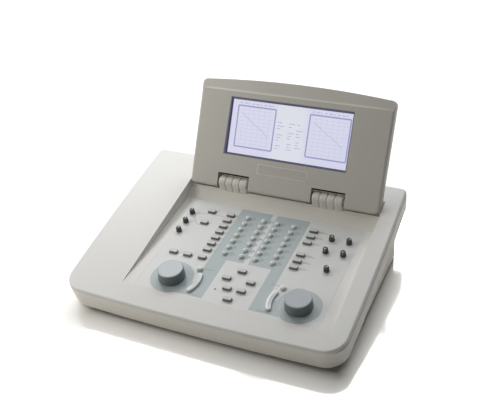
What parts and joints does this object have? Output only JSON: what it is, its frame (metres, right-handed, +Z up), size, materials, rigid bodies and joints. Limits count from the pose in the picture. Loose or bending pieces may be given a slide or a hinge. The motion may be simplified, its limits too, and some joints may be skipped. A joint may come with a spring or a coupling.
{
  "type": "audiometer",
  "caption": "Desktop hearing tester: wedge console with a sunk key panel, level dials, knobs and a fold-down display lid on ribbed hinge towers",
  "frame": {"origin": "on the floor plane under the middle of the whole object's box with the lid as stored", "axes": "+X to the operator's right, +Y to the back, +Z up"},
  "size_m": [0.514, 0.4158, 0.2814],
  "materials": {
    "housing": "fine texture",
    "housing_low": "fine texture",
    "bezel": "fine texture",
    "panel_plate": "satin",
    "panel_film": "printed film",
    "key_white": "satin",
    "key_grey": "satin",
    "bar_white": "satin",
    "knob": "satin",
    "dial": "satin",
    "rubber": "matte",
    "board": "solder mask",
    "mat": "matte",
    "brass": "turned",
    "component": "moulded",
    "supply": "folded sheet",
    "speaker": "coated paper",
    "rear_plate": "powder coat",
    "socket": "plated",
    "inlet": "moulded",
    "steel": "zinc plated",
    "lcd": "screen film",
    "window": "clear, anti-glare",
    "name_plate": "satin"
  },
  "bodies": {
    "console": {"top_cover": "housing", "lower_shell": "housing_low", "base_pan": "housing_low", "rubber_feet": "rubber", "control_panel": "panel_plate", "panel_overlay": "panel_film", "keypad_mat": "mat", "keypad_board": "board", "panel_spacers": "brass", "dial_encoders": "component", "knob_potentiometers": "component", "main_board": "board", "power_supply": "supply", "monitor_speaker": "speaker", "rear_panel": "rear_plate", "jack_sockets": "socket", "power_inlet": "inlet", "case_screws": "steel", "left_hinge_tower": "housing", "right_hinge_tower": "housing"},
    "lid": {"lid_bezel": "bezel", "lid_back_cover": "housing", "lcd_module": "lcd", "screen_window": "window", "name_plate": "name_plate", "display_board": "board", "hinge_pins": "steel", "lid_screws": "steel"},
    "left_dial": {"left_dial": "dial"},
    "right_dial": {"right_dial": "dial"},
    "left_knob_1": {"left_knob_1": "knob"},
    "left_knob_2": {"left_knob_2": "knob"},
    "left_knob_3": {"left_knob_3": "knob"},
    "right_knob_1": {"right_knob_1": "knob"},
    "right_knob_2": {"right_knob_2": "knob"},
    "right_knob_3": {"right_knob_3": "knob"},
    "right_knob_4": {"right_knob_4": "knob"},
    "right_knob_5": {"right_knob_5": "knob"},
    "left_present_bar": {"left_present_bar": "bar_white"},
    "left_bar_button": {"left_bar_button": "key_white"},
    "right_present_bar": {"right_present_bar": "bar_white"},
    "right_bar_button": {"right_bar_button": "key_white"},
    "round_keys_1": {"round_keys_1": "key_white"},
    "round_keys_2": {"round_keys_2": "key_white"},
    "round_keys_3": {"round_keys_3": "key_white"},
    "round_keys_4": {"round_keys_4": "key_white"},
    "left_column_keys": {"left_column_keys": "key_grey"},
    "left_row_key_1": {"left_row_key_1": "key_grey"},
    "left_row_key_2": {"left_row_key_2": "key_grey"},
    "left_upper_key_1": {"left_upper_key_1": "key_grey"},
    "left_upper_key_2": {"left_upper_key_2": "key_grey"},
    "right_keys_upper": {"right_keys_upper": "key_grey"},
    "right_keys_lower": {"right_keys_lower": "key_grey"},
    "centre_key_1": {"centre_key_1": "key_grey"},
    "centre_key_2": {"centre_key_2": "key_grey"},
    "centre_key_3": {"centre_key_3": "key_grey"},
    "centre_key_4": {"centre_key_4": "key_grey"},
    "centre_key_5": {"centre_key_5": "key_grey"},
    "centre_key_6": {"centre_key_6": "key_grey"},
    "power_rocker": {"power_rocker": "inlet"}
  },
  "joints": [
    {"name": "lid_hinge", "type": "hinge", "parent": "console", "child": "lid", "pos_m": [0.0375, 0.10573, 0.10716], "axis": [1, 0, 0], "range_deg": [-8, 126.9]},
    {"name": "left_dial_turn", "type": "hinge", "parent": "console", "child": "left_dial", "pos_m": [-0.073, -0.12891, 0.05642], "axis": [0, -0.0884, 0.9961], "continuous": true},
    {"name": "right_dial_turn", "type": "hinge", "parent": "console", "child": "right_dial", "pos_m": [0.1585, -0.12891, 0.05642], "axis": [0, -0.0884, 0.9961], "continuous": true},
    {"name": "left_knob_1_turn", "type": "hinge", "parent": "console", "child": "left_knob_1", "pos_m": [-0.1185, 0.03654, 0.0711], "axis": [0, -0.0884, 0.9961], "range_deg": [-140, 140]},
    {"name": "left_knob_2_turn", "type": "hinge", "parent": "console", "child": "left_knob_2", "pos_m": [-0.1185, 0.00964, 0.06871], "axis": [0, -0.0884, 0.9961], "range_deg": [-140, 140]},
    {"name": "left_knob_3_turn", "type": "hinge", "parent": "console", "child": "left_knob_3", "pos_m": [-0.1185, -0.01725, 0.06632], "axis": [0, -0.0884, 0.9961], "range_deg": [-140, 140]},
    {"name": "right_knob_1_turn", "type": "hinge", "parent": "console", "child": "right_knob_1", "pos_m": [0.156, 0.03753, 0.07118], "axis": [0, -0.0884, 0.9961], "range_deg": [-140, 140]},
    {"name": "right_knob_2_turn", "type": "hinge", "parent": "console", "child": "right_knob_2", "pos_m": [0.1875, 0.03753, 0.07118], "axis": [0, -0.0884, 0.9961], "range_deg": [-140, 140]},
    {"name": "right_knob_3_turn", "type": "hinge", "parent": "console", "child": "right_knob_3", "pos_m": [0.156, 0.00466, 0.06827], "axis": [0, -0.0884, 0.9961], "range_deg": [-140, 140]},
    {"name": "right_knob_4_turn", "type": "hinge", "parent": "console", "child": "right_knob_4", "pos_m": [0.1875, 0.00466, 0.06827], "axis": [0, -0.0884, 0.9961], "range_deg": [-140, 140]},
    {"name": "right_knob_5_turn", "type": "hinge", "parent": "console", "child": "right_knob_5", "pos_m": [0.173, -0.03867, 0.06442], "axis": [0, -0.0884, 0.9961], "range_deg": [-140, 140]},
    {"name": "left_present_bar_press", "type": "slide", "parent": "console", "child": "left_present_bar", "axis": [0, 0.0884, -0.9961], "range_m": [0, 0.0015], "stiffness_N_per_m": 600},
    {"name": "left_bar_button_press", "type": "slide", "parent": "console", "child": "left_bar_button", "axis": [0, 0.0884, -0.9961], "range_m": [0, 0.0015], "stiffness_N_per_m": 300},
    {"name": "right_present_bar_press", "type": "slide", "parent": "console", "child": "right_present_bar", "axis": [0, 0.0884, -0.9961], "range_m": [0, 0.0015], "stiffness_N_per_m": 600},
    {"name": "right_bar_button_press", "type": "slide", "parent": "console", "child": "right_bar_button", "axis": [0, 0.0884, -0.9961], "range_m": [0, 0.0015], "stiffness_N_per_m": 300},
    {"name": "round_keys_1_press", "type": "slide", "parent": "console", "child": "round_keys_1", "axis": [0, 0.0884, -0.9961], "range_m": [0, 0.0015], "stiffness_N_per_m": 1200},
    {"name": "round_keys_2_press", "type": "slide", "parent": "console", "child": "round_keys_2", "axis": [0, 0.0884, -0.9961], "range_m": [0, 0.0015], "stiffness_N_per_m": 1200},
    {"name": "round_keys_3_press", "type": "slide", "parent": "console", "child": "round_keys_3", "axis": [0, 0.0884, -0.9961], "range_m": [0, 0.0015], "stiffness_N_per_m": 1200},
    {"name": "round_keys_4_press", "type": "slide", "parent": "console", "child": "round_keys_4", "axis": [0, 0.0884, -0.9961], "range_m": [0, 0.0015], "stiffness_N_per_m": 1200},
    {"name": "left_column_keys_press", "type": "slide", "parent": "console", "child": "left_column_keys", "axis": [0, 0.0884, -0.9961], "range_m": [0, 0.0015], "stiffness_N_per_m": 1200},
    {"name": "left_row_key_1_press", "type": "slide", "parent": "console", "child": "left_row_key_1", "axis": [0, 0.0884, -0.9961], "range_m": [0, 0.0015], "stiffness_N_per_m": 300},
    {"name": "left_row_key_2_press", "type": "slide", "parent": "console", "child": "left_row_key_2", "axis": [0, 0.0884, -0.9961], "range_m": [0, 0.0015], "stiffness_N_per_m": 300},
    {"name": "left_upper_key_1_press", "type": "slide", "parent": "console", "child": "left_upper_key_1", "axis": [0, 0.0884, -0.9961], "range_m": [0, 0.0015], "stiffness_N_per_m": 300},
    {"name": "left_upper_key_2_press", "type": "slide", "parent": "console", "child": "left_upper_key_2", "axis": [0, 0.0884, -0.9961], "range_m": [0, 0.0015], "stiffness_N_per_m": 300},
    {"name": "right_keys_upper_press", "type": "slide", "parent": "console", "child": "right_keys_upper", "axis": [0, 0.0884, -0.9961], "range_m": [0, 0.0015], "stiffness_N_per_m": 800},
    {"name": "right_keys_lower_press", "type": "slide", "parent": "console", "child": "right_keys_lower", "axis": [0, 0.0884, -0.9961], "range_m": [0, 0.0015], "stiffness_N_per_m": 800},
    {"name": "centre_key_1_press", "type": "slide", "parent": "console", "child": "centre_key_1", "axis": [0, 0.0884, -0.9961], "range_m": [0, 0.0015], "stiffness_N_per_m": 300},
    {"name": "centre_key_2_press", "type": "slide", "parent": "console", "child": "centre_key_2", "axis": [0, 0.0884, -0.9961], "range_m": [0, 0.0015], "stiffness_N_per_m": 300},
    {"name": "centre_key_3_press", "type": "slide", "parent": "console", "child": "centre_key_3", "axis": [0, 0.0884, -0.9961], "range_m": [0, 0.0015], "stiffness_N_per_m": 300},
    {"name": "centre_key_4_press", "type": "slide", "parent": "console", "child": "centre_key_4", "axis": [0, 0.0884, -0.9961], "range_m": [0, 0.0015], "stiffness_N_per_m": 300},
    {"name": "centre_key_5_press", "type": "slide", "parent": "console", "child": "centre_key_5", "axis": [0, 0.0884, -0.9961], "range_m": [0, 0.0015], "stiffness_N_per_m": 300},
    {"name": "centre_key_6_press", "type": "slide", "parent": "console", "child": "centre_key_6", "axis": [0, 0.0884, -0.9961], "range_m": [0, 0.0015], "stiffness_N_per_m": 300},
    {"name": "power_rocker_tilt", "type": "hinge", "parent": "console", "child": "power_rocker", "pos_m": [0.165, 0.13577, 0.034], "axis": [1, 0, 0], "range_deg": [0, 16]}
  ]
}
